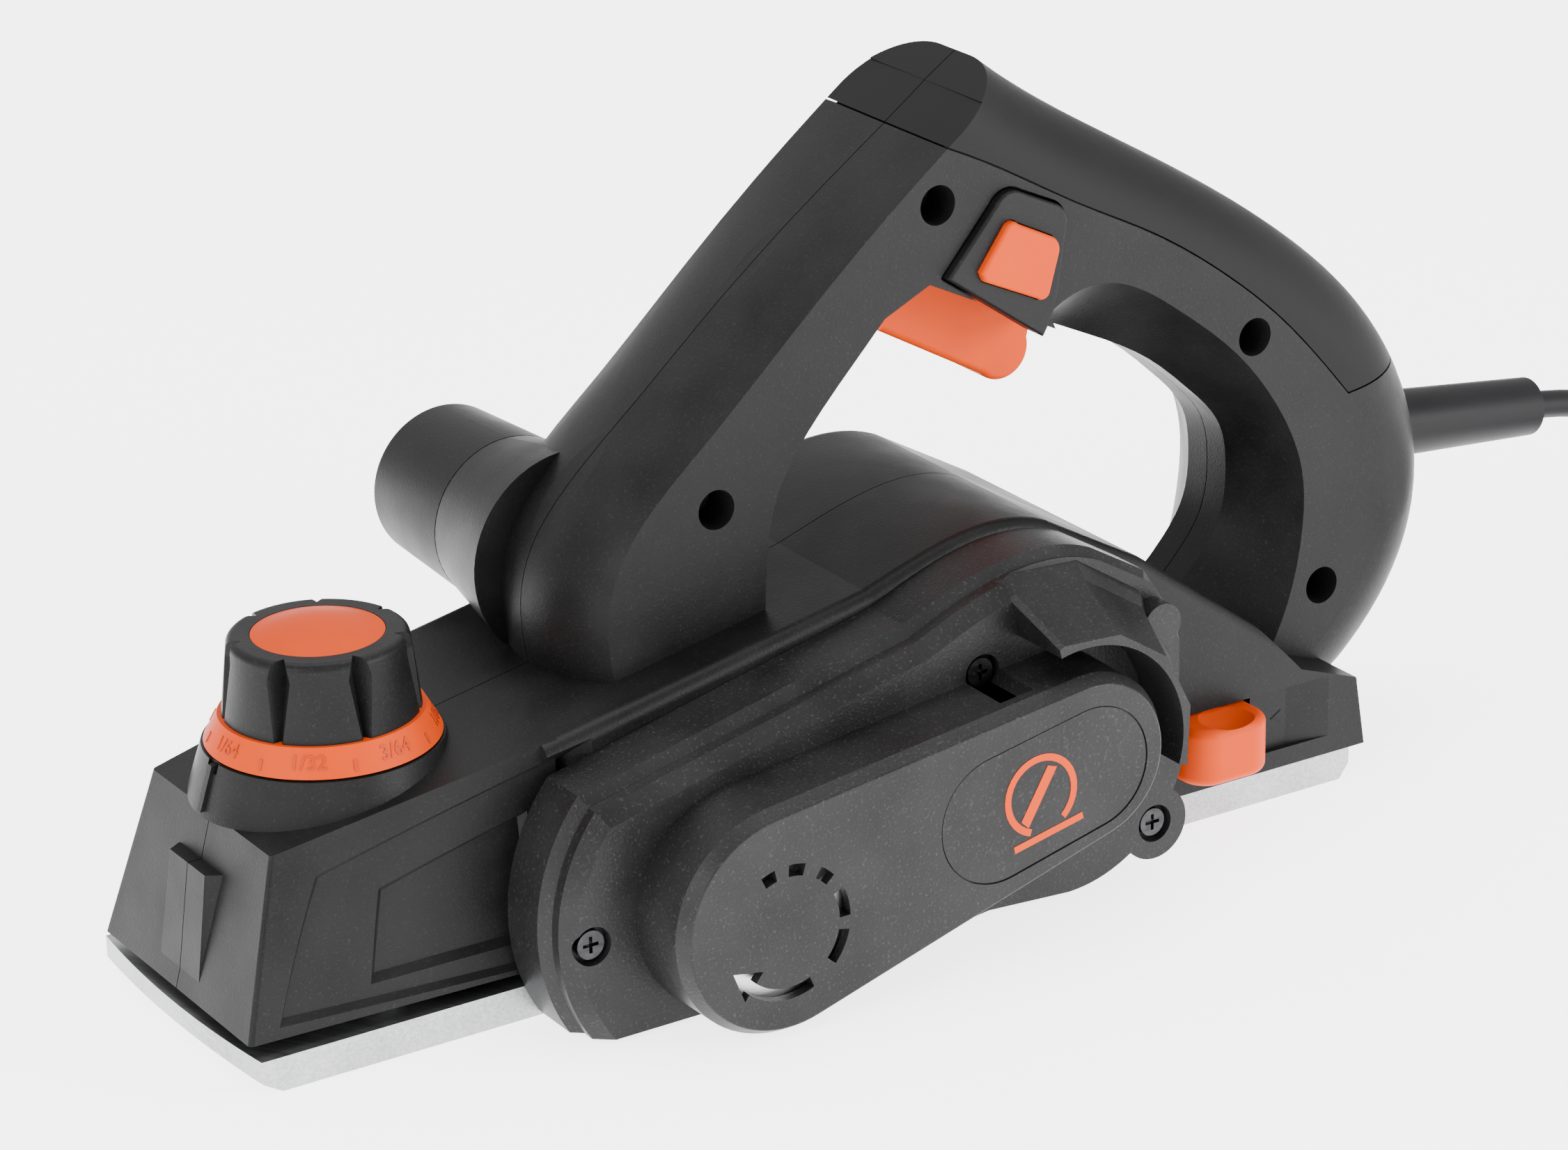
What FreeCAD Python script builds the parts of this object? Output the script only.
import FreeCAD, Part
import math
import os

# Electric hand planer, 82 mm cut, in millimetres.
# While modelling, x is measured back from the front end of the front shoe, y is 0 on the
# clamshell seam with the drive belt at -y, and z is height above the rear sole.
# Everything is moved by -origin_x when it is saved.

V = FreeCAD.Vector

# Driving dimensions
origin_x = 160.0          # where the frame's origin lies on the rear sole
sole_width = 82.0         # width of both shoes and of the cut
sole_length = 316.0       # front end of the front shoe to rear end of the rear shoe
front_shoe_thickness = 8.6
rear_shoe_thickness = 8.3
depth_at_rest = 0.4       # the dial stands at one sixty-fourth of an inch
depth_travel = 2.6        # how much further the front shoe can rise
drum_x = 116.0            # cutter drum axis
drum_z = 28.2
cutter_radius = 28.15     # circle of the blade edges
drum_radius = 26.4
motor_x = 203.0           # motor axis
motor_z = 48.0
knob_x = 41.0             # depth knob axis
handle_half = 26.5        # half the thickness of the handle
grip_skin = 3.0           # thickness of the soft grip
body_half = sole_width / 2
deck_rise = 0.2           # slope of the deck
deck_start = 52.0         # deck height at x = 0
fit_gap = 0.05            # radial clearance of running fits
part_gap = 0.3            # clearance between curved neighbours
drive_inner = -body_half - part_gap     # inner side of the drive housing
drive_outer = drive_inner - 16.7        # joint between the drive housing and the belt cover
flange_face = drive_outer - 6.5         # outer face of the belt cover's flange
cover_face = flange_face - 20.0         # outer face of the belt cover's bulge
cover_wall = 2.6
belt_near = cover_face + 5.5            # outer side of the belt
belt_far = belt_near + 12.0             # inner side of the belt
seat_floor = drive_inner - 11.7         # floor of the bearing seats in the drive housing
motor_pulley_radius = 11.0
drum_pulley_radius = 21.0
belt_thickness = 2.4
motor_shaft_radius = 5.0
drum_shaft_radius = 6.0
bearing_radius = 14.0
chamber_radius = 30.6     # room the cutter turns in
plate_radius = 35.0       # end plate over the chamber's far side
bearing_width = 9.0
end_cover_face = body_half + 21.0       # outer face of the motor end cover
dust_x = 116.5            # dust port axis
dust_z = 90.5
dust_end = body_half + 35.0             # open end of the dust port
dust_root_radius = 21.6
dust_radius = 20.0        # outside of the port's open end
dust_bore = 17.5
well_radius = 5.0         # screw wells in the handle
cord_diameter = 7.5
cord_exit_z = 77.0
guard_start = (344.0, 77.8)
guard_tilt = 6.0
guard_length = 64.0
wrench_y = -body_half + 4.0             # the wrench's axis
wrench_z = 21.5
wrench_travel = 12.0
pocket_floor = -body_half + 1.8         # shallow floor of the wrench's pocket
deep_floor = -body_half + 7.8           # deep part under the wrench's grip
plug_face, plug_y, plug_z = 404.0, -87.5, 9.2

os.makedirs("parts", exist_ok=True)


# Helpers
def save(name, shape):
    solids = shape.Solids
    moved = Part.makeCompound([s.translated(V(-origin_x, 0, 0)) for s in solids])
    if len(solids) == 1:
        moved = solids[0].translated(V(-origin_x, 0, 0))
    moved.exportStep("parts/" + name + ".step")
    print(name, len(solids), round(shape.Volume / 1000, 2), "cm3", shape.isValid())


def box(x0, x1, y0, y1, z0, z1):
    return Part.makeBox(x1 - x0, y1 - y0, z1 - z0, V(x0, y0, z0))


def cyl_y(x, z, radius, y0, y1):
    return Part.makeCylinder(radius, y1 - y0, V(x, y0, z), V(0, 1, 0))


def cyl_z(x, y, radius, z0, z1):
    return Part.makeCylinder(radius, z1 - z0, V(x, y, z0), V(0, 0, 1))


def cone_z(x, y, r0, r1, z0, z1):
    return Part.makeCone(r0, r1, z1 - z0, V(x, y, z0), V(0, 0, 1))


def ring_y(x, z, outer, inner, y0, y1):
    return cyl_y(x, z, outer, y0, y1).cut(cyl_y(x, z, inner, y0 - 1, y1 + 1))


def deck_height(x):
    return deck_start + deck_rise * x


def outline(steps, y=0.0):
    """Closed wire in the XZ plane: points, ("arc", mid, end) and ("curve", points)."""
    edges = []
    first = steps[0]
    here = first

    def at(p):
        return V(p[0], y, p[1])

    for step in steps[1:] + [first]:
        if step[0] == "arc":
            edges.append(Part.Arc(at(here), at(step[1]), at(step[2])).toShape())
            here = step[2]
        elif step[0] == "curve":
            curve = Part.BSplineCurve()
            curve.interpolate([at(p) for p in [here] + list(step[1])])
            edges.append(curve.toShape())
            here = step[1][-1]
        elif math.dist(here, step) > 1e-6:
            edges.append(Part.LineSegment(at(here), at(step)).toShape())
            here = step
    return Part.Wire(edges)


def slab(steps, y0, y1):
    return Part.Face(outline(steps, y0)).extrude(V(0, y1 - y0, 0))


def loft(wires, ruled=True):
    return Part.makeLoft(wires, True, ruled)


def fuse(shapes):
    out = shapes[0]
    for shape in shapes[1:]:
        out = out.fuse(shape)
    return out.removeSplitter()


def cut(shape, tools):
    for tool in tools:
        shape = shape.cut(tool)
    return shape


def edges_where(shape, test):
    return [e for e in shape.Edges if test(e)]


def tangent_loop(x0, z0, r0, x1, z1, r1):
    """Outline of two circles and their outer tangents, as steps for outline()."""
    length = math.dist((x0, z0), (x1, z1))
    base = math.atan2(z1 - z0, x1 - x0)
    lean = math.acos((r0 - r1) / length)

    def on(x, z, r, angle):
        return (x + r * math.cos(angle), z + r * math.sin(angle))

    top = base + lean
    low = base - lean
    return [on(x0, z0, r0, top),
            ("arc", on(x0, z0, r0, base + math.pi), on(x0, z0, r0, low)),
            on(x1, z1, r1, low),
            ("arc", on(x1, z1, r1, base), on(x1, z1, r1, top))]


# Shoes
def make_front_shoe():
    lift = depth_at_rest
    top = lift + front_shoe_thickness
    half = sole_width / 2
    plan = Part.Wire([
        Part.Arc(V(0, -half, lift), V(-2.5, 0, lift), V(0, half, lift)).toShape(),
        Part.LineSegment(V(0, half, lift), V(102, half, lift)).toShape(),
        Part.LineSegment(V(102, half, lift), V(102, -half, lift)).toShape(),
        Part.LineSegment(V(102, -half, lift), V(0, -half, lift)).toShape()])
    shoe = Part.Face(plan).extrude(V(0, 0, front_shoe_thickness))
    nose = slab([(-8, lift - 1), (5, lift - 1), (5, lift), (0, lift + 3), (-8, lift + 4.6)],
                -half - 1, half + 1)
    mouth = slab([(102.5, lift - 1), (101.5, lift), (91, top), (90, top + 1), (103, top + 1)],
                 -half - 1, half + 1)
    groove = Part.Face(Part.Wire(Part.makePolygon([
        V(-4, -3.2, lift - 0.2), V(-4, 0, lift + 3), V(-4, 3.2, lift - 0.2),
        V(-4, -3.2, lift - 0.2)]))).extrude(V(110, 0, 0))
    post = cyl_z(knob_x, 0, 9, top - 1, top + 24)
    pin_holes = [cyl_z(knob_x, s * 24, 3, lift + 3, top + 1) for s in (-1, 1)]
    shoe = fuse([cut(shoe, [nose, mouth, groove]), post])
    shoe = cut(shoe, [cyl_z(knob_x, 0, 4 + fit_gap, top + 2, top + 30)])
    return cut(shoe, pin_holes)


def make_guide_pins():
    low = depth_at_rest + 3
    return Part.makeCompound([cyl_z(knob_x, s * 24, 3, low, 40) for s in (-1, 1)])


def make_spring(x, y, radius, wire, z0, z1, turns):
    """Coil spring whose wire stays between z0 and z1."""
    rise = z1 - z0 - wire
    helix = Part.makeLongHelix(rise / turns, rise, radius)
    helix.translate(V(x, y, z0 + wire / 2))
    section = Part.Wire(Part.makeCircle(wire / 2, V(x + radius, y, z0 + wire / 2), V(0, 1, 0)))
    return Part.Wire(helix.Edges).makePipeShell([section], True, True)


def make_rear_shoe():
    half = sole_width / 2
    end = sole_length
    top = rear_shoe_thickness
    plate = slab([(121, 0), (end - 3, 0), (end, 4), (end, top), (135, top), (121, 1.6)],
                 -half, half)
    plate = plate.cut(cyl_y(drum_x, drum_z, cutter_radius + 0.8, -half - 1, half + 1))
    for x, y in shoe_screw_spots():
        plate = plate.cut(cone_z(x, y, 4.6, 2.2, -0.01, 2.4))
        plate = plate.cut(cyl_z(x, y, 2.2, 1, top + 1))
    return plate


def shoe_screw_spots():
    side = body_half - 11
    return [(150, -side), (150, side), (sole_length - 16, -side), (sole_length - 16, side)]


def make_shoe_screws():
    screws = []
    for x, y in shoe_screw_spots():
        head = cone_z(x, y, 4.3, 2.0, 0.25, 2.4)
        shank = cyl_z(x, y, 2.0, 2.3, rear_shoe_thickness + 9)
        slot = fuse([box(x - 2.2, x + 2.2, y - 0.4, y + 0.4, 0, 1.3),
                     box(x - 0.4, x + 0.4, y - 2.2, y + 2.2, 0, 1.3)])
        screws.append(fuse([head, shank]).cut(slot))
    return Part.makeCompound(screws)


# Handle
crown_line = ("curve", [(240, 189), (262, 175.5), (290, 158.5), (315, 141), (336, 122),
                        (350, 102), (357, 82), (358, 66)])
loop_front = [(147, 70), ("curve", [(148, 90), (151, 108), (164, 128), (183, 148)]),
              (196, 154)]
nose_curve = [(236, 134), (258, 123.5), (275, 114), (288, 103), (298, 91), (300, 79),
              (298, 66), (292, 57), (283, 48)]
scoop_curve = [(231, 140), (250, 144.5), (271, 133), (290, 117), (303, 100), (311, 80),
               (311, 64), (307, 46), (299, 30)]


def inward(points, amount):
    """The points of an open chain, each moved by amount to the right of its travel."""
    moved = []
    for i, (x, z) in enumerate(points):
        x0, z0 = points[max(i - 1, 0)]
        x1, z1 = points[min(i + 1, len(points) - 1)]
        length = math.dist((x0, z0), (x1, z1))
        moved.append((x + (z1 - z0) / length * amount, z - (x1 - x0) / length * amount))
    return moved


def handle_block(inset, top_round):
    """The handle before its loop is cut, with its front and crown pulled in by inset."""
    half = handle_half - inset
    front = inward([(124, 127), (173, 167.5), (222, 202)], inset)
    crown = inward([(222, 202)] + crown_line[1], inset)
    steps = [(97, 60), (95, 81), ("curve", [(97.5, 98), (107, 111.5), front[0]]),
             ("arc", front[1], crown[0]), ("curve", crown[1:]), (351 - inset, 55), (336, 27),
             (322, 22), (318, 12), (250, 12), (250, 60)]
    block = slab(steps, -half, half)
    tops = edges_where(block, lambda e: abs(abs(e.CenterOfMass.y) - half) < 0.01
                       and e.BoundBox.XLength > 90 and e.BoundBox.XMax > 300
                       and e.BoundBox.ZMax > 190)
    return block.makeFillet(top_round, tops)


def plan_front(z, seam_x, crease_x):
    """Wire ahead of the leg's bowed front face at height z."""
    side = handle_half * 1.5
    drop = (crease_x - seam_x) * 2.25
    return Part.Wire([
        Part.Arc(V(seam_x + drop, -side, z), V(seam_x, 0, z), V(seam_x + drop, side, z)).toShape(),
        Part.LineSegment(V(seam_x + drop, side, z), V(40, side, z)).toShape(),
        Part.LineSegment(V(40, side, z), V(40, -side, z)).toShape(),
        Part.LineSegment(V(40, -side, z), V(seam_x + drop, -side, z)).toShape()])


def make_handle_outer():
    block = handle_block(0, 20)
    bow = loft([plan_front(50, 98, 109), plan_front(81, 95.2, 106), plan_front(98, 97.7, 108),
                plan_front(127, 124.2, 133), plan_front(153, 154.5, 161),
                plan_front(187, 200.5, 201.5), plan_front(196, 213, 213.5)], False)
    return block.cut(bow)


def make_grip_core():
    """What lies under the soft grip, one skin thickness in."""
    return handle_block(grip_skin, 17)


def make_loop():
    """The hand opening: a through cut that flares out to both faces behind the trigger."""
    through = slab([loop_front[0], loop_front[1], loop_front[2],
                    nose_curve[0], ("curve", nose_curve[1:]), (240, 60)],
                   -handle_half - 5, handle_half + 5)
    flares = []
    for side in (-1, 1):
        inner = outline([nose_curve[0], ("curve", nose_curve[1:]), (262, 70)], side * 8)
        outer = outline([scoop_curve[0], ("curve", scoop_curve[1:]), (262, 70)],
                        side * (handle_half + 0.5))
        flares.append(loft([inner, outer]))
    return [through] + flares


def make_groove_region(shift=0.0):
    """Everything above the line where the soft grip meets the hard handle."""
    return slab([(170, 165.5 + shift), (199, 188 + shift),
                 ("curve", [(218, 178.5 + shift), (240, 166 + shift), (262, 154.5 + shift),
                            (284, 140 + shift), (303, 124 + shift), (317, 109 + shift),
                            (325, 99.5 + shift)]),
                 (372, 106 + shift), (372, 215), (170, 215)], -60, 60)


def make_handle_cavity():
    """Room inside the handle for the switch and its wires."""
    leg = slab([(136, 121), (153, 118), (190, 159), (203, 170), (197, 173), (185, 167)], -18, 18)
    grip = slab([(186, 158), (196, 156), (238, 142), (262, 133), (286, 117), (304, 98),
                 (310, 80), (309, 62), (322, 62), (336, 84), (330, 102), (308, 128),
                 (282, 146), (250, 165), (225, 180), (200, 176)], -18, 18)
    return grip.fuse(leg)


# Body
def front_loft(low, top, x_end, sink=0.0):
    """Four-sided block: low and top are (x, half width at x, half width at x_end, height)."""
    wires = []
    for x, half, half_end, base, rise in (low, top):
        points = []
        for px, py in ((x, -half), (x_end, -half_end), (x_end, half_end), (x, half)):
            side = math.copysign(abs(py) - sink, py)
            points.append(V(px, side, base + rise * px))
        wires.append(Part.makePolygon(points + points[:1]))
    return loft(wires)


def front_sides(sink=0.0):
    return front_loft((-1.3, body_half - 3, body_half - 0.5, 12.0, 0),
                      (10.5, body_half - 10.5, body_half - 2.5, deck_start, deck_rise),
                      82.0, sink)


def make_front_block():
    block = front_sides()
    upright = edges_where(block, lambda e: abs(e.BoundBox.ZMin - 12) < 0.1
                          and e.BoundBox.ZMax > 50 and e.BoundBox.XMax < 20)
    return block.makeFillet(1.2, upright)


def make_mid_body():
    steps = [(78, 12), (78, deck_height(78)), (168, deck_height(168)),
             ("curve", [(187, 91.8), (204, 94.8), (222, 91.5)]), (250, 75.5), (286, 49),
             (300, 34), (318, 27.5), (321, rear_shoe_thickness), (139, rear_shoe_thickness),
             (139, 12)]
    body = slab(steps, -body_half, body_half)
    tops = edges_where(body, lambda e: abs(abs(e.CenterOfMass.y) - body_half) < 0.01
                       and e.CenterOfMass.z > 50 and e.BoundBox.XLength > 5)
    return body.makeFillet(3.5, tops)


outer_panel = [(18.5, 49.5), (84, 61.5), (84, 18.5), (9.5, 17.5)]
inner_panel = [(35, 41.5), (72, 49.5), (72, 23), (33, 20.5)]


def make_front_panel():
    """Sunk panels on the sides of the front block, one inside the other."""
    tools = []
    reach = 7.0
    for depth, panel in ((1.3, outer_panel), (3.0, inner_panel)):
        core = front_sides(depth)
        low = sum(z for x, z in panel) / 4
        front = sum(x for x, z in panel) / 4
        for side in (-1, 1):
            wires = []
            for pad in (-reach, reach):
                y = side * (body_half - 6 + pad)
                points = [V(x + pad * math.copysign(1, x - front), y,
                            z + pad * math.copysign(1, z - low)) for x, z in panel]
                wires.append(Part.makePolygon(points + points[:1]))
            tools.append(loft(wires).cut(core))
    return tools


def make_nose_wedge():
    """Raised wedge in the middle of the nose, flush at its foot."""
    def rim(x_top, half_top, x_low, half_low):
        points = [V(x_top, -half_top, 43), V(x_top, half_top, 43),
                  V(x_low, half_low, 17), V(x_low, -half_low, 17)]
        return Part.makePolygon(points + points[:1])
    return loft([rim(10, 13, 3, 10.5), rim(3.8, 9, 0.05, 10)])


def make_drum_end_plate():
    """Plate that closes the drum chamber's far side and carries its bearing."""
    inner = body_half + part_gap
    plate = cyl_y(drum_x, drum_z, plate_radius, inner, inner + 4)
    plate = plate.cut(box(0, 320, 0, 100, -30, 1.2))
    boss = cyl_y(drum_x, drum_z, 20, inner, inner + 14)
    rim = edges_where(boss, lambda e: abs(e.CenterOfMass.y - inner - 14) < 0.1)
    plate = fuse([plate, boss.makeFillet(2, rim)])
    plate = plate.cut(cyl_y(drum_x, drum_z, bearing_radius, inner - 1, inner + 11))
    return plate.cut(cyl_y(drum_x, drum_z, drum_shaft_radius + 1, inner, inner + 12.5))


def make_weight_savers():
    """Hollows that keep the housing's walls thin."""
    top = deck_height(0) - 4
    between = slab([(149, 13), (182, 13), (168, 28), (162, 46), (163, 56), (150, 58)],
                   -body_half + 4, body_half - 4)
    rear = slab([(248, 13), (248, 66), (283, 44), (297, 30), (306, 26), (306, 13)],
                deep_floor + 3.2, body_half - 4)
    under_deck = slab([(98, 63), (98, top + deck_rise * 98), (160, top + deck_rise * 160),
                       (160, 70), (135, 63)], -body_half + 4, -2)
    bosses = [cyl_z(x, y, 5, 12, 24) for x, y in shoe_screw_spots()]
    return cut(between, bosses), cut(rear, bosses), under_deck


def make_body_cavities():
    front = front_loft((3.5, body_half - 7.5, body_half - 7, 11.0, 0),
                       (14, body_half - 15.5, body_half - 10, deck_start - 5, deck_rise), 74.0)
    front = cut(front, [cyl_z(knob_x, 0, 9, 40, 70)]
                + [cyl_z(knob_x, s * 24, 6, 23, 70) for s in (-1, 1)])
    spindle = cyl_z(knob_x, 0, 4 + fit_gap, 38, 72)
    pins = [cyl_z(knob_x, s * 24, 3 + fit_gap, 20, 44) for s in (-1, 1)]
    chamber = cyl_y(drum_x, drum_z, chamber_radius, -body_half - 1, body_half + 1)
    motor = cyl_y(motor_x, motor_z, 36.5, -31, body_half + 1)
    shaft = cyl_y(motor_x, motor_z, motor_shaft_radius + 2, -body_half - 1, -30)
    chute = box(103, 130, 2, 22, 52, 84)
    port = cyl_y(dust_x, dust_z, dust_bore + 0.5, 3, body_half)
    return [front, spindle, chamber, motor, shaft, chute, port] + pins


def make_dust_root():
    """Flared collar where the dust port leaves the handle's far side."""
    start = 12.0
    return Part.makeCone(27.0, dust_root_radius, body_half - start, V(dust_x, start, dust_z),
                         V(0, 1, 0))


def make_dust_port():
    start = body_half + part_gap
    tube = Part.makeCone(dust_root_radius, dust_radius, dust_end - start,
                         V(dust_x, start, dust_z), V(0, 1, 0))
    rim = edges_where(tube, lambda e: abs(e.CenterOfMass.y - dust_end) < 0.1)
    return tube.makeFillet(1.1, rim).cut(cyl_y(dust_x, dust_z, dust_bore, start - 1, dust_end + 1))


def well_spots():
    return [(134.5, 110.0), (198.5, 173.5), (294.5, 121.0), (317.5, 48.5)]


def make_well_tools(side):
    tools = []
    for x, z in well_spots():
        if side < 0:
            tools.append(cyl_y(x, z, well_radius, -handle_half - 6, -14))
            tools.append(cyl_y(x, z, 2.2, -15, 1))
        else:
            tools.append(cyl_y(x, z, 1.9, -1, 15))
    return tools


def make_boss_columns():
    return [cyl_y(x, z, 7.5, -20, 20) for x, z in well_spots()]


def make_housing_screws():
    screws = []
    for x, z in well_spots():
        head = cyl_y(x, z, 3.8, -16.6, -14)
        shank = cyl_y(x, z, 1.9, -14.1, 13)
        cross = fuse([box(x - 2.2, x + 2.2, -17, -15.4, z - 0.45, z + 0.45),
                      box(x - 0.45, x + 0.45, -17, -15.4, z - 2.2, z + 2.2)])
        screws.append(fuse([head, shank]).cut(cross))
    return Part.makeCompound(screws)


# Trigger, switch and lock button
bezel_steps = [(200, 155), (214, 171), ("arc", (217.5, 173.6), (222, 172.8)),
               (231.5, 168.3), ("arc", (234.6, 165.6), (235, 161.5)),
               (233, 149), ("arc", (231.5, 142), (228, 135))]
button_steps = [(208.5, 155.5), (215.8, 165.5), ("arc", (217.5, 166.6), (219.5, 165.8)),
                (229, 161), ("arc", (231.3, 158.8), (231.5, 156.5)),
                (228.8, 147.2), ("arc", (227.4, 145.4), (225, 145.8)),
                (209.6, 153)]
trigger_steps = [(190.6, 152), (189.4, 143), ("arc", (189.2, 140.4), (191.6, 138.8)),
                 (223, 120.8), ("arc", (233.5, 119.6), (236.8, 128)),
                 (239.5, 139), (216, 150.5), (194.5, 160.5)]
trigger_pivot = (191.8, 157.0)
trigger_swing = 7.0
trigger_half = 10.0
button_travel = 3.0
switch_corner = (207.0, 164.0)
switch_tilt = 25.0


def grow(steps, amount, y0, y1):
    """Slab of an outline widened by amount all round."""
    wire = outline(steps, y0)
    if amount:
        wire = wire.makeOffset2D(amount)
    return Part.Face(wire).extrude(V(0, y1 - y0, 0))


def make_bezel():
    face = -handle_half - 2.2
    plate = slab(bezel_steps, face, -20)
    rim = edges_where(plate, lambda e: e.BoundBox.YMax < face + 0.01)
    return plate.makeFillet(0.9, rim).cut(grow(button_steps, 0.3, face - 1, -18))


def make_lock_button():
    face = -handle_half - 4.2
    button = slab(button_steps, face, -17)
    rim = edges_where(button, lambda e: e.BoundBox.YMax < face + 0.01)
    return button.makeFillet(1.0, rim)


def make_bezel_room():
    pocket = grow(bezel_steps, 0.7, -handle_half - 6, -20)
    hole = grow(button_steps, 0.3, -handle_half - 6, -12.5)
    return [pocket, hole]


def turned_about_pivot(shape, angle):
    turned = shape.copy()
    turned.rotate(V(trigger_pivot[0], 0, trigger_pivot[1]), V(0, -1, 0), angle)
    return turned


def make_trigger():
    body = slab(trigger_steps, -trigger_half, trigger_half)
    rims = edges_where(body, lambda e: abs(abs(e.CenterOfMass.y) - trigger_half) < 0.01
                       and e.CenterOfMass.z < 146 and e.CenterOfMass.x > 189.8)
    body = body.makeFillet(2.0, rims)
    hub = cyl_y(trigger_pivot[0], trigger_pivot[1], 4.2, -trigger_half, trigger_half)
    bore = cyl_y(trigger_pivot[0], trigger_pivot[1], 2 + fit_gap, -20, 20)
    return fuse([body, hub]).cut(bore)


def make_trigger_room():
    """Slot under the grip, with clearance round the trigger over its whole swing."""
    half = trigger_half + 0.4
    swept = grow(trigger_steps, 0.6, -half, half)
    rooms = [turned_about_pivot(swept, trigger_swing * i / 3) for i in range(4)]
    rooms.append(cyl_y(trigger_pivot[0], trigger_pivot[1], 4.9, -half, half))
    rooms.append(slab([(212, 148), (206, 164), (240, 150), (240, 140)], -half, half))
    return fuse(rooms)


def make_switch():
    """Switch block over the trigger, tilted with the grip."""
    block = Part.makeBox(34, 17, 13, V(0, -8.5, 0))
    block.Placement = FreeCAD.Placement(V(switch_corner[0], 0, switch_corner[1]),
                                        FreeCAD.Rotation(V(0, 1, 0), switch_tilt))
    return block


def switch_under(x):
    """Height of the switch's lower side at x."""
    return switch_corner[1] - (x - switch_corner[0]) * math.tan(math.radians(switch_tilt))


def make_trigger_spring():
    x, radius, wire = 222.0, 3.0, 0.8
    reach = radius + wire / 2
    low = 150.5 - (x - reach - 216) * (150.5 - 139) / (239.5 - 216)
    return make_spring(x, 0, radius, wire, low + 0.1, switch_under(x + reach) - 0.1, 2)


def make_pivot_pin():
    x, z = trigger_pivot
    return cyl_y(x, z, 2, -16, 16)


# Depth knob
collar_top = 66.4
ring_top = 73.4
skirt_top = 92.5
skirt_low_radius = 23.6
skirt_top_radius = 21.4
skirt_lean = (skirt_low_radius - skirt_top_radius) / (skirt_top - ring_top)
cap_radius = 15.8
lobes = 7


def make_knob_collar():
    low = deck_height(knob_x) - 7.5
    collar = cone_z(knob_x, 0, 33.2, 28.8, low, collar_top)
    deck = slab([(0, deck_height(0)), (90, deck_height(90)), (90, 20), (0, 20)], -50, 50)
    collar = collar.cut(deck)
    mark = box(knob_x - 34, knob_x - 28, -0.9, 0.9, 55, collar_top - 0.6)
    collar = collar.cut(box(knob_x - 28.6 - 1.2, knob_x - 28, -2.4, 2.4, 64, 70))
    collar = fuse([collar, mark.common(cone_z(knob_x, 0, 34.2, 29.8, low, collar_top - 0.6))
                   .cut(deck)])
    return collar.cut(cyl_z(knob_x, 0, 5, 40, 80))


def make_depth_ring():
    base = collar_top + 0.5
    ring = cone_z(knob_x, 0, 28.2, 24.6, base, ring_top)
    return ring.cut(cyl_z(knob_x, 0, 12, base - 1, ring_top + 1))


def make_depth_knob():
    skirt = cone_z(knob_x, 0, skirt_low_radius, skirt_top_radius, ring_top, skirt_top)
    rim = edges_where(skirt, lambda e: abs(e.CenterOfMass.z - skirt_top) < 0.1
                      and e.Length > 100)
    skirt = skirt.makeFillet(2.0, rim)
    scoops = []
    for i in range(lobes):
        angle = 217 + i * 360 / lobes
        rims = []
        for z, half, depth in ((ring_top - 1, 1.6, 1.6), (skirt_top - 4.5, 5.0, 4.4),
                               (skirt_top + 1, 3.6, 3.0)):
            outer = skirt_low_radius + 1
            surface = skirt_low_radius - (z - ring_top) * skirt_lean
            rims.append(Part.makePolygon([V(outer, -half, z), V(surface - depth, 0, z),
                                          V(outer, half, z), V(outer, -half, z)]))
        wedge = loft(rims)
        wedge.Placement = FreeCAD.Placement(V(knob_x, 0, 0),
                                            FreeCAD.Rotation(V(0, 0, 1), angle))
        scoops.append(wedge)
    skirt = cut(skirt, scoops)
    skirt = skirt.cut(cyl_z(knob_x, 0, cap_radius + 0.15, skirt_top - 3, skirt_top + 1))
    return skirt.cut(cyl_z(knob_x, 0, 4, ring_top - 1, skirt_top))


def make_knob_cap():
    low = skirt_top - 3
    disc = cyl_z(knob_x, 0, cap_radius, low, skirt_top + 4)
    dome_radius = 48.0
    dome = Part.makeSphere(dome_radius, V(knob_x, 0, skirt_top + 2.6 - dome_radius))
    return disc.common(dome)


def make_depth_screw():
    thread = cyl_z(knob_x, 0, 4, 16, skirt_top - 3)
    return thread.fuse(cyl_z(knob_x, 0, 11, collar_top + 0.5, ring_top)).removeSplitter()


# Drive side
def drive_steps(inset):
    r = 50.5 - inset
    low = 1.5
    top = 61 - inset
    x_low = drum_x - math.sqrt(r * r - (drum_z - low) ** 2)
    x_top = drum_x - math.sqrt(r * r - (top - drum_z) ** 2)
    return [(x_low, low), ("arc", (drum_x - r, drum_z), (x_top, top)),
            (168, top + (168 - x_top) * 0.235),
            ("curve", [(188, 90 - inset), (205, 93 - inset), (223, 89.5 - inset)]),
            (239, 80 - inset), (248 - inset, 66), (248 - inset, 42),
            ("arc", (236, 15 + inset * 0.5), (210, 4.5)), (186, 6), (150, low)]


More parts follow.
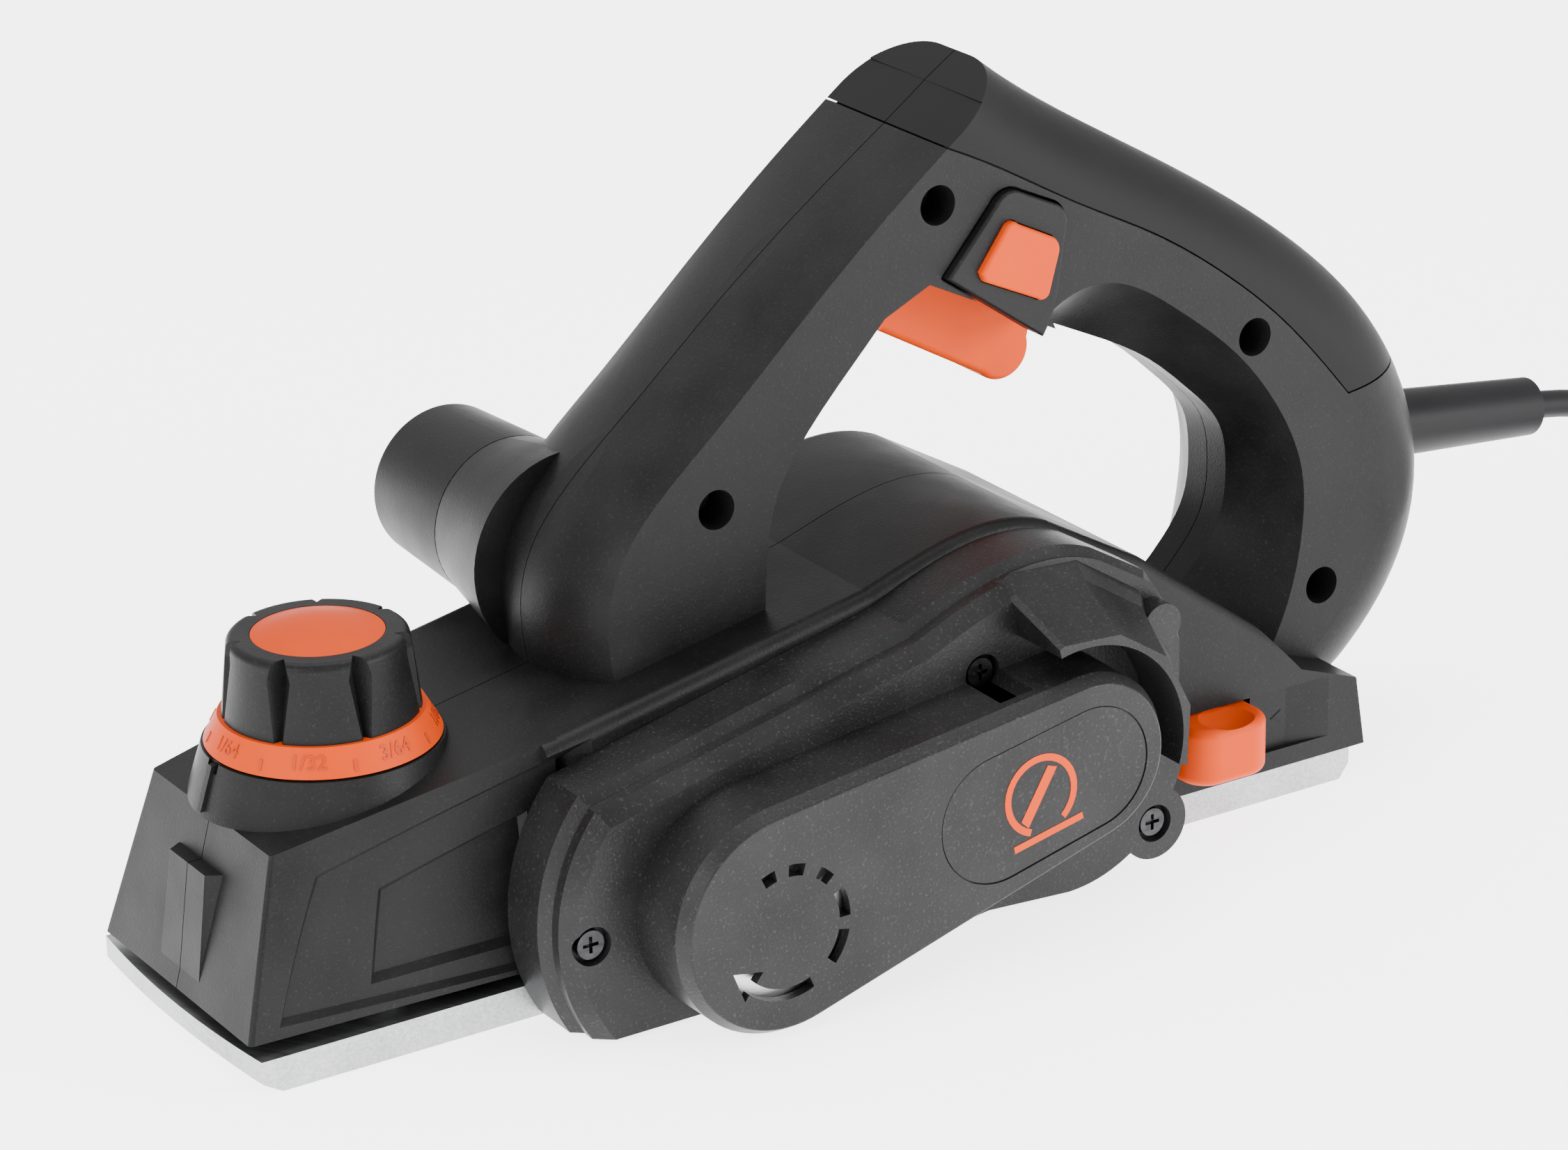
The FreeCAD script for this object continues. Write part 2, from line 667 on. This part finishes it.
def make_drive_housing():
    block = slab(drive_steps(0), drive_outer, drive_inner)
    steps = edges_where(block, lambda e: abs(e.CenterOfMass.y - drive_outer) < 0.01
                        and (e.CenterOfMass.z > 58 or e.CenterOfMass.x < 80))
    block = block.makeChamfer(3.0, steps)
    pocket = slab(drive_steps(4), drive_outer + 3.5, drive_inner + 1)
    seats = [cyl_y(drum_x, drum_z, bearing_radius + 4, drive_outer, drive_inner),
             cyl_y(motor_x, motor_z, bearing_radius + 4, drive_outer, drive_inner)]
    seats += [cyl_y(x, z, 5.5, drive_outer, drive_inner) for x, z in flange_screw_spots()]
    block = block.cut(cut(pocket, seats))
    for x, z, r in ((drum_x, drum_z, drum_shaft_radius), (motor_x, motor_z, motor_shaft_radius)):
        block = block.cut(cyl_y(x, z, bearing_radius, seat_floor, drive_inner + 1))
        block = block.cut(cyl_y(x, z, r + 2, drive_outer - 1, seat_floor + 1))
    for x, z in flange_screw_spots():
        block = block.cut(cyl_y(x, z, 1.8, drive_outer - 1, drive_outer + 12))
    return block


def flange_screw_spots():
    return [(74.8, 27.1), (184.5, 68.9), (236.0, 16.2)]


def bulge_loop(extra):
    return tangent_loop(drum_x, 29.7, 28.3 + extra, motor_x, motor_z, 21.4 + extra)


def make_belt_cover():
    flange = slab(drive_steps(2.2), flange_face, drive_outer)
    upper = edges_where(flange, lambda e: abs(e.CenterOfMass.y - flange_face) < 0.01
                        and (e.CenterOfMass.z > 58 or e.CenterOfMass.x < 74))
    flange = flange.makeChamfer(3.6, upper).cut(make_rear_bevel())
    lugs = [cyl_y(x, z, 9.5, flange_face, drive_outer) for x, z in flange_screw_spots()[1:]]
    lugs.append(cyl_y(238.2, 68.6, 5.5, flange_face + 0.3, drive_outer))
    root = loft([outline(bulge_loop(0.9), flange_face + 0.5),
                 outline(bulge_loop(0.6), cover_face + 3.5)])
    crown = loft([outline(bulge_loop(0.6), cover_face + 3.5),
                  outline(bulge_loop(-1.5), cover_face)])
    rim = edges_where(crown, lambda e: abs(e.CenterOfMass.y - cover_face) < 0.01)
    crown = crown.makeFillet(0.6, rim)
    body = fuse([flange] + lugs + [make_hood(), root, crown])
    body = body.cut(box(0, 320, -150, 0, -30, 1.2))
    hollow = slab(bulge_loop(-2.2), cover_face + cover_wall, drive_outer + 1)
    body = body.cut(hollow)
    for x, z in flange_screw_spots():
        body = body.cut(cyl_y(x, z, 4.9, flange_face - 14, flange_face + 3.4))
        body = body.cut(cyl_y(x, z, 2.2, flange_face, drive_outer + 1))
    body = body.cut(slab(badge_loop(0.35), cover_face - 1, cover_face + 0.7))
    return cut(body, make_arrow_slots())


def badge_loop(extra):
    return tangent_loop(175.3, 40.6, 16.2 + extra, 202.8, 46.6, 15.6 + extra)


def make_badge():
    return slab(badge_loop(0), cover_face + 0.2, cover_face + 0.7)


def motor_ring(radius, y):
    """Twelve-sided wire about the motor axis."""
    points = []
    for i in range(13):
        angle = math.radians(12 + 30 * i)
        points.append(V(motor_x + radius * math.cos(angle), y, motor_z + radius * math.sin(angle)))
    return Part.makePolygon(points)


def rear_sector(y0, y1):
    """Sector above and behind the motor axis."""
    return slab([(motor_x, motor_z), (motor_x - 16, motor_z + 60),
                 (motor_x + 60, motor_z + 60), (motor_x + 60, motor_z - 18)], y0, y1)


def make_rear_bevel():
    """What the flat bevels round the cover's rear end take away from its flange."""
    keep = loft([motor_ring(38.5, flange_face - 0.5), motor_ring(43.0, drive_outer - 0.5)])
    return rear_sector(flange_face - 1, drive_outer - 0.5).cut(keep)


def make_hood():
    """Faceted hood round the rear end of the bulge, with a crescent gap inside it."""
    hood = loft([motor_ring(31.5, cover_face + 3), motor_ring(42.0, drive_outer)])
    hood = hood.common(rear_sector(cover_face, drive_outer))
    return hood.cut(cyl_y(motor_x, motor_z, 28.8, cover_face, drive_outer))


def make_arrow_slots():
    """Turning arrow of slots through the cover: a broken ring and an arrow head."""
    cx, cz, inner, outer = 115.8, 27.3, 14.1, 17.1
    slots = []
    for start, stop in ((102, 115), (73, 89), (42, 57), (0, 27), (-42, -12), (-137, -67)):
        points = []
        for radius, order in ((outer, (start, stop)), (inner, (stop, start))):
            a0, a1 = (math.radians(a) for a in order)
            mid = (a0 + a1) / 2
            spot = [(cx + radius * math.cos(a), cz + radius * math.sin(a))
                    for a in (a0, mid, a1)]
            points += [spot[0], ("arc", spot[1], spot[2])]
        slots.append(slab(points, cover_face - 1, cover_face + cover_wall + 1))
    slots.append(slab([(100.4, 20.6), (108.6, 19.2), (103.4, 12.8)],
                      cover_face - 1, cover_face + cover_wall + 1))
    return slots


def make_cover_screws():
    screws = []
    for x, z in flange_screw_spots():
        low = flange_face + 3.4
        head = cyl_y(x, z, 3.6, low - 2.4, low)
        shank = cyl_y(x, z, 1.8, low - 0.1, drive_outer + 11)
        cross = fuse([box(x - 2.1, x + 2.1, low - 3, low - 1, z - 0.45, z + 0.45),
                      box(x - 0.45, x + 0.45, low - 3, low - 1, z - 2.1, z + 2.1)])
        screws.append(fuse([head, shank]).cut(cross))
    return Part.makeCompound(screws)


# Cutter
def make_cutter_drum():
    drum = cyl_y(drum_x, drum_z, drum_radius, -body_half + 0.3, body_half - 0.3)
    for turn in (0, 180):
        slot = box(drum_x - 6, drum_x + 3.2, -60, 60, drum_z - drum_radius - 2, drum_z - 15)
        slot.rotate(V(drum_x, 0, drum_z), V(0, 1, 0), turn)
        drum = drum.cut(slot)
    return drum.cut(cyl_y(drum_x, drum_z, drum_shaft_radius, -60, 60))


def turned_pair(shape):
    other = shape.copy()
    other.rotate(V(drum_x, 0, drum_z), V(0, 1, 0), 180)
    return Part.makeCompound([shape, other])


def make_blades():
    low = drum_z - cutter_radius
    blade = slab([(drum_x, low), (drum_x + 1.1, low + 1.4), (drum_x + 1.1, low + 13),
                  (drum_x, low + 13)], -body_half, body_half)
    return turned_pair(blade)


def make_blade_clamps():
    low = drum_z - drum_radius + 1
    clamp = slab([(drum_x - 5.9, low), (drum_x - 0.05, low), (drum_x - 0.05, low + 10.2),
                  (drum_x - 5.9, low + 10.2)], -body_half + 1, body_half - 1)
    for y in clamp_screw_spots():
        clamp = clamp.cut(Part.makeCylinder(1.6, 8, V(drum_x - 7, y, low + 4), V(1, 0, 0)))
    return turned_pair(clamp)


def clamp_screw_spots():
    return [-27, 0, 27]


def make_clamp_screws():
    low = drum_z - drum_radius + 1
    shapes = []
    for y in clamp_screw_spots():
        shank = Part.makeCylinder(1.55, 5.6, V(drum_x - 5.9, y, low + 4), V(1, 0, 0))
        shapes += turned_pair(shank).Solids
    return Part.makeCompound(shapes)


def make_drum_shaft():
    return cyl_y(drum_x, drum_z, drum_shaft_radius, belt_near - 2, body_half + 12)


def bearing(x, z, shaft_radius, outer, y0, y1):
    races = ring_y(x, z, outer, outer - 2.6, y0, y1)
    inner = ring_y(x, z, shaft_radius + 2.6, shaft_radius + fit_gap, y0, y1)
    web = ring_y(x, z, outer - 2.6, shaft_radius + 2.6, y0 + 1, y1 - 1)
    return fuse([races, inner, web])


def make_pulley(x, z, radius, bore, ribs=5):
    pulley = cyl_y(x, z, radius, belt_near - 1, belt_far + 1)
    for i in range(ribs):
        y = belt_near + 1.6 + i * 2.2
        pulley = pulley.cut(ring_y(x, z, radius + 1, radius - 1.1, y, y + 1.1))
    return pulley.cut(cyl_y(x, z, bore, -90, -50))


def make_belt():
    def band(extra):
        return slab(tangent_loop(drum_x, drum_z, drum_pulley_radius + extra,
                                 motor_x, motor_z, motor_pulley_radius + extra),
                    belt_near, belt_far)
    return band(belt_thickness).cut(band(0.12))


# Motor
def make_armature():
    core = cyl_y(motor_x, motor_z, 25.6, -10, 30)
    for i in range(12):
        slot = box(motor_x - 0.9, motor_x + 0.9, -11, 31, motor_z + 17, motor_z + 27)
        slot.rotate(V(motor_x, 0, motor_z), V(0, 1, 0), i * 30)
        core = core.cut(slot)
    return core.cut(cyl_y(motor_x, motor_z, motor_shaft_radius, -11, 31))


def make_armature_windings():
    rings = [ring_y(motor_x, motor_z, 21, motor_shaft_radius, y0, y1)
             for y0, y1 in ((-17, -10), (30, 35))]
    return Part.makeCompound(rings)


def make_commutator():
    body = ring_y(motor_x, motor_z, 11.5, motor_shaft_radius, 35, 46)
    for i in range(24):
        slit = box(motor_x - 0.25, motor_x + 0.25, 36, 47, motor_z + 10.6, motor_z + 12)
        slit.rotate(V(motor_x, 0, motor_z), V(0, 1, 0), i * 15)
        body = body.cut(slit)
    return body


def make_fan():
    hub = ring_y(motor_x, motor_z, 12, motor_shaft_radius, -29, -19)
    disc = ring_y(motor_x, motor_z, 33, 11.5, -29, -27)
    blades = []
    for i in range(12):
        blade = box(motor_x - 0.8, motor_x + 0.8, -27.2, -20, motor_z + 14, motor_z + 32)
        blade.rotate(V(motor_x, 0, motor_z), V(0, 1, 0), i * 30)
        blades.append(blade)
    return fuse([hub, disc] + blades)


def make_stator():
    ring = ring_y(motor_x, motor_z, 36.45, 29.5, -9, 29)
    for side in (-1, 1):
        pole = ring_y(motor_x, motor_z, 30, 26.3, -9, 29)
        keep = box(motor_x - 22, motor_x + 22, -10, 30,
                   min(motor_z, motor_z + side * 40), max(motor_z, motor_z + side * 40))
        ring = ring.fuse(pole.common(keep.cut(box(motor_x - 40, motor_x + 40, -11, 31,
                                                  motor_z - 12, motor_z + 12))))
    return ring.removeSplitter()


def make_field_windings():
    return Part.makeCompound([ring_y(motor_x, motor_z, 34, 27, -16, -9),
                              ring_y(motor_x, motor_z, 34, 27, 29, 35.5)])


def make_brush_holders():
    holders = []
    for side in (-1, 1):
        x0, x1 = sorted((motor_x + side * 14, motor_x + side * 34))
        holder = box(x0, x1, 37, 46, motor_z - 5, motor_z + 5)
        holders.append(holder.cut(box(x0 - 1, x1 + 1, 38.4, 44.6, motor_z - 3.6, motor_z + 3.6)))
    return Part.makeCompound(holders)


def make_brushes():
    brushes = []
    for side in (-1, 1):
        x0, x1 = sorted((motor_x + side * 11.75, motor_x + side * 25))
        brushes.append(box(x0, x1, 38.4, 44.6, motor_z - 3.6, motor_z + 3.6))
    return Part.makeCompound(brushes)


def make_motor_end_cover():
    low = body_half
    seat = low + bearing_width - 1
    cover = cyl_y(motor_x, motor_z, 39.4, low, end_cover_face)
    rim = edges_where(cover, lambda e: abs(e.CenterOfMass.y - end_cover_face) < 0.1)
    cover = cover.makeFillet(5, rim)
    cover = cover.cut(cut(cyl_y(motor_x, motor_z, 36.4, low - 1, end_cover_face - 3),
                          [cyl_y(motor_x, motor_z, 14, seat - 2, end_cover_face)]))
    cover = cover.cut(cyl_y(motor_x, motor_z, 11, seat, seat + bearing_width))
    cover = cover.cut(cyl_y(motor_x, motor_z, 7, seat - 3, seat + 1))
    for i in range(7):
        z = motor_z - 24 + i * 8
        reach = math.sqrt(30 ** 2 - (z - motor_z) ** 2)
        inner = 16.5 if abs(z - motor_z) < 18 else 2
        for side in (-1, 1):
            x0, x1 = sorted((motor_x + side * inner, motor_x + side * reach))
            cover = cover.cut(box(x0, x1, end_cover_face - 4, end_cover_face + 1,
                                  z - 1.5, z + 1.5))
    return cover


# Wrench in its slot
grip_x0, grip_x1 = 258.5, 283.5
grip_z0, grip_z1 = 14.0, 29.5


def make_wrench_grip():
    outer = -body_half - 11.5
    grip = box(grip_x0, grip_x1, outer, pocket_floor - 0.2, grip_z0, grip_z1)
    upright = edges_where(grip, lambda e: e.BoundBox.ZLength > 10 and e.CenterOfMass.y < outer + 1)
    grip = grip.makeFillet(7.5, upright)
    rims = edges_where(grip, lambda e: (abs(e.CenterOfMass.z - grip_z1) < 0.01
                                        or abs(e.CenterOfMass.z - grip_z0) < 0.01)
                       and e.BoundBox.YMin < pocket_floor - 3)
    grip = grip.makeFillet(2.4, rims)
    grip = grip.cut(Part.makeSphere(16, V(271.5, outer + 5.5, grip_z1 + 14.2)))
    root = box(grip_x0, grip_x0 + 13.5, pocket_floor - 0.3, deep_floor - 0.3, grip_z0, grip_z1)
    return fuse([grip, root]).cut(make_hex_wrench())


def make_hex_wrench():
    apothem, start, end = 2.0, 215.0, grip_x0 + 11.5
    radius = apothem / math.cos(math.pi / 6)
    points = [V(start, wrench_y + radius * math.cos(math.radians(60 * i)),
                wrench_z + radius * math.sin(math.radians(60 * i))) for i in range(7)]
    return Part.Face(Part.makePolygon(points)).extrude(V(end - start, 0, 0))


def make_wrench_room():
    """Pocket for the wrench's grip, its ramp, and the hole the wrench slides in."""
    low, top = grip_z0 - 0.6, grip_z1 + 0.6
    front = grip_x0 - 0.8
    flat_end = grip_x1 + wrench_travel + 0.8
    shallow = Part.Face(Part.makePolygon([
        V(front, -body_half - 5, low), V(flat_end + 13, -body_half - 5, low),
        V(flat_end + 13, -body_half - 0.05, low), V(flat_end, pocket_floor, low),
        V(front, pocket_floor, low), V(front, -body_half - 5, low)])).extrude(V(0, 0, top - low))
    deep = box(front, grip_x0 + 13.5 + wrench_travel + 0.8, pocket_floor - 1, deep_floor,
               low, top)
    hole = Part.makeCylinder(2.9, 60, V(212, wrench_y, wrench_z), V(1, 0, 0))
    return [shallow, deep, hole]


# Cord
def guard_axis():
    tilt = math.radians(guard_tilt)
    return V(guard_start[0], 0, guard_start[1]), V(math.cos(tilt), 0, -math.sin(tilt))


def make_cord_guard():
    start, along = guard_axis()
    collar = Part.makeCylinder(11, 5, start - along * 5, along)
    return collar.fuse(Part.makeCone(9.4, 7.9, guard_length, start, along)).removeSplitter()


def make_guard_room():
    start, along = guard_axis()
    return [Part.makeCylinder(11.1, 5.1, start - along * 5.1, along),
            Part.makeCylinder(9.5, 30, start - along * 2, along)]


def make_guard_boss():
    """Rounded boss on the rear of the handle that the guard comes out of."""
    return Part.makeSphere(14.5, V(345.5, 0, cord_exit_z))


def cord_route():
    """Points of the cord from the guard down to the coil, chosen by hand."""
    return [V(407.65, 0, 71.11), V(427.5, 0, 69.0), V(445.2, 0.3, 59.6), V(458, 0.9, 44.4),
            V(467.8, 1.6, 26.9), V(481.4, 2.6, 11.8), V(500, 3.7, 4.4), V(519.5, 4, 4.6)]


def tail_route():
    """Points of the cord from the coil to the plug, chosen by hand."""
    return [V(519.5, -94, 12.1), V(494, -94.4, 11.9), V(470, -93, 9.9), V(447, -89.5, 9.2)]


coil_x = 519.5
coil_y = -45.0
coil_lift = 0.8
coil_inner_turn = 41.5
coil_layers = 3
coil_rows = 2


def make_tube(points, name):
    """Cord tube: straight runs joined by arcs as large as the runs allow."""
    edges = []
    here = points[0]
    for i in range(1, len(points) - 1):
        before = points[i] - points[i - 1]
        after = points[i + 1] - points[i]
        turn = before.getAngle(after)
        reach = 0.45 * min(before.Length, after.Length)
        radius = reach / math.tan(turn / 2)
        print(name, "radius at point", i, round(radius, 1))
        start = points[i] - before.normalize() * reach
        stop = points[i] + after.normalize() * reach
        bisector = (after - before).normalize()
        centre = points[i] + bisector * math.hypot(radius, reach)
        middle = centre - bisector * radius
        edges.append(Part.LineSegment(here, start).toShape())
        edges.append(Part.Arc(start, middle, stop).toShape())
        here = stop
    edges.append(Part.LineSegment(here, points[-1]).toShape())
    path = Part.Wire(edges)
    along = (points[1] - points[0]).normalize()
    section = Part.Wire(Part.makeCircle(cord_diameter / 2, points[0], along))
    tube = path.makePipeShell([section], True, True)
    area = math.pi * cord_diameter ** 2 / 4
    print(name, "length", round(path.Length, 1), "volume ratio",
          round(tube.Volume / (area * path.Length), 4))
    return tube


def longest(shape):
    return max(shape.Solids, key=lambda s: s.Volume)


def make_coil():
    inner = coil_inner_turn - cord_diameter / 2
    outer = inner + coil_rows * cord_diameter
    top = coil_lift + coil_layers * cord_diameter
    turns = (math.pi * (coil_inner_turn + coil_inner_turn + cord_diameter)
             * (coil_rows * coil_layers - 0.5))
    print("coil holds", round(turns, 1))
    ring = cyl_z(coil_x, coil_y, outer, coil_lift, top)
    return ring.cut(cyl_z(coil_x, coil_y, inner, coil_lift - 1, top + 1))


def make_coil_tie():
    inner = coil_inner_turn - cord_diameter / 2
    outer = inner + coil_rows * cord_diameter
    top = coil_lift + coil_layers * cord_diameter
    strap = box(coil_x + inner - 1.3, coil_x + outer + 0.9, coil_y - 4.5, coil_y + 4.5,
                0, top + 0.8)
    return strap.cut(box(coil_x + inner - 0.4, coil_x + outer + 0.1, coil_y - 5, coil_y + 5,
                         coil_lift, top))


def make_plug():
    """Two-blade plug lying on its flat side, with its own tapered relief."""
    back, end = plug_face + 20, plug_face + 43
    block = box(plug_face, back, plug_y - 12.5, plug_y + 12.5, plug_z - 8.7, plug_z + 8.7)
    rims = edges_where(block, lambda e: e.CenterOfMass.x > plug_face + 1)
    block = block.makeFillet(3, rims)

    def ring(x, half_y, half_z, shift):
        steps = [V(x, plug_y + shift + sy * half_y, plug_z + sz * half_z)
                 for sy, sz in ((-1, -1), (1, -1), (1, 1), (-1, 1))]
        return Part.makePolygon(steps + steps[:1])
    relief = loft([ring(back - 0.5, 7.5, 6, 0), ring(end, 4.4, 4.4, -2)])
    return fuse([block, relief])


def make_plug_blades():
    return Part.makeCompound([
        box(plug_face - 17, plug_face + 4, plug_y + s * 6.35 - 0.75, plug_y + s * 6.35 + 0.75,
            plug_z - 3.2, plug_z + 3.2) for s in (-1, 1)])


def make_housing():
    """Both halves of the body with the handle, and the two soft grips."""
    handle = cut(make_handle_outer(), make_loop())
    body = fuse([make_front_block(), make_mid_body()])
    solid = fuse([body, handle, make_dust_root(), make_guard_boss()])
    solid = cut(solid, make_front_panel())
    solid = fuse([solid, make_nose_wedge()])
    room = fuse(make_body_cavities())
    savers = list(make_weight_savers())
    columns = fuse(make_boss_columns())
    handle_room = make_handle_cavity().cut(columns)
    solid = cut(solid, [room, handle_room, make_trigger_room(), make_pivot_pin()] + savers)
    solid = cut(solid, make_bezel_room() + make_wrench_room() + make_guard_room())
    solid = solid.cut(make_switch())
    for x, y in shoe_screw_spots():
        solid = solid.cut(cyl_z(x, y, 2, 0, rear_shoe_thickness + 9.5))
    region = make_groove_region()
    core = make_grip_core()
    upper = handle.common(make_groove_region(0.5))
    grip = upper.cut(core)
    grip = cut(grip, make_guard_room() + [make_guard_boss()])
    hard = solid.cut(region.cut(core).cut(box(330, 380, -60, 60, 0, 100)))
    hard = hard.cut(grip)
    left = cut(hard, [box(-20, 400, -0.3, 100, -5, 230)] + make_well_tools(-1))
    right = cut(hard, [box(-20, 400, -100, 0, -5, 230)] + make_well_tools(1))
    left_grip = grip.common(box(-20, 400, -100, -0.15, -5, 230))
    right_grip = grip.common(box(-20, 400, 0.15, 100, -5, 230))
    return left, right, left_grip, right_grip


if __name__ == "__main__":
    left, right, left_grip, right_grip = make_housing()
    save("left_housing", left)
    save("right_housing", right)
    save("left_grip", left_grip)
    save("right_grip", right_grip)
    save("dust_port", make_dust_port())
    save("housing_screws", make_housing_screws())
    save("front_shoe", make_front_shoe())
    save("guide_pins", make_guide_pins())
    for side, name in ((-1, "left_shoe_spring"), (1, "right_shoe_spring")):
        low = depth_at_rest + front_shoe_thickness
        save(name, make_spring(knob_x, side * 24, 4.4, 1.2, low, 22, 5))
    save("rear_shoe", make_rear_shoe())
    save("rear_shoe_screws", make_shoe_screws())
    save("trigger", make_trigger())
    save("trigger_pin", make_pivot_pin())
    save("trigger_spring", make_trigger_spring())
    save("switch", make_switch())
    save("lock_bezel", make_bezel())
    save("lock_button", make_lock_button())
    save("knob_collar", make_knob_collar())
    save("depth_ring", make_depth_ring())
    save("depth_knob", make_depth_knob())
    save("knob_cap", make_knob_cap())
    save("depth_screw", make_depth_screw())
    save("drive_housing", make_drive_housing())
    save("belt_cover", make_belt_cover())
    save("cover_badge", make_badge())
    save("cover_screws", make_cover_screws())
    save("drum_end_plate", make_drum_end_plate())
    save("cutter_drum", make_cutter_drum())
    save("blades", make_blades())
    save("blade_clamps", make_blade_clamps())
    save("clamp_screws", make_clamp_screws())
    save("drum_shaft", make_drum_shaft())
    save("left_drum_bearing",
         bearing(drum_x, drum_z, drum_shaft_radius, bearing_radius - fit_gap, seat_floor + 1,
                 seat_floor + 1 + bearing_width))
    save("right_drum_bearing",
         bearing(drum_x, drum_z, drum_shaft_radius, bearing_radius - fit_gap,
                 body_half + 1.5, body_half + 1.5 + bearing_width))
    save("left_motor_bearing",
         bearing(motor_x, motor_z, motor_shaft_radius, bearing_radius - fit_gap,
                 seat_floor + 1, seat_floor + 1 + bearing_width))
    save("right_motor_bearing",
         bearing(motor_x, motor_z, motor_shaft_radius, 11 - fit_gap, body_half + 9,
                 body_half + 16))
    save("drum_pulley", make_pulley(drum_x, drum_z, drum_pulley_radius, drum_shaft_radius))
    save("motor_pulley", make_pulley(motor_x, motor_z, motor_pulley_radius,
                                     motor_shaft_radius))
    save("drive_belt", make_belt())
    save("motor_shaft", cyl_y(motor_x, motor_z, motor_shaft_radius, belt_near - 1.5,
                              body_half + 16))
    save("armature", make_armature())
    save("armature_windings", make_armature_windings())
    save("commutator", make_commutator())
    save("motor_fan", make_fan())
    save("stator", make_stator())
    save("field_windings", make_field_windings())
    save("brush_holders", make_brush_holders())
    save("brushes", make_brushes())
    save("motor_end_cover", make_motor_end_cover())
    save("hex_wrench", make_hex_wrench())
    save("wrench_grip", make_wrench_grip())
    save("cord_guard", make_cord_guard())
    coil = make_coil()
    save("power_cord", longest(make_tube(cord_route(), "power_cord").cut(coil)))
    save("cord_coil", coil)
    save("coil_tie", make_coil_tie())
    save("cord_tail", longest(make_tube(tail_route(), "cord_tail").cut(coil)))
    save("plug_body", make_plug().cut(make_plug_blades()))
    save("plug_blades", make_plug_blades())
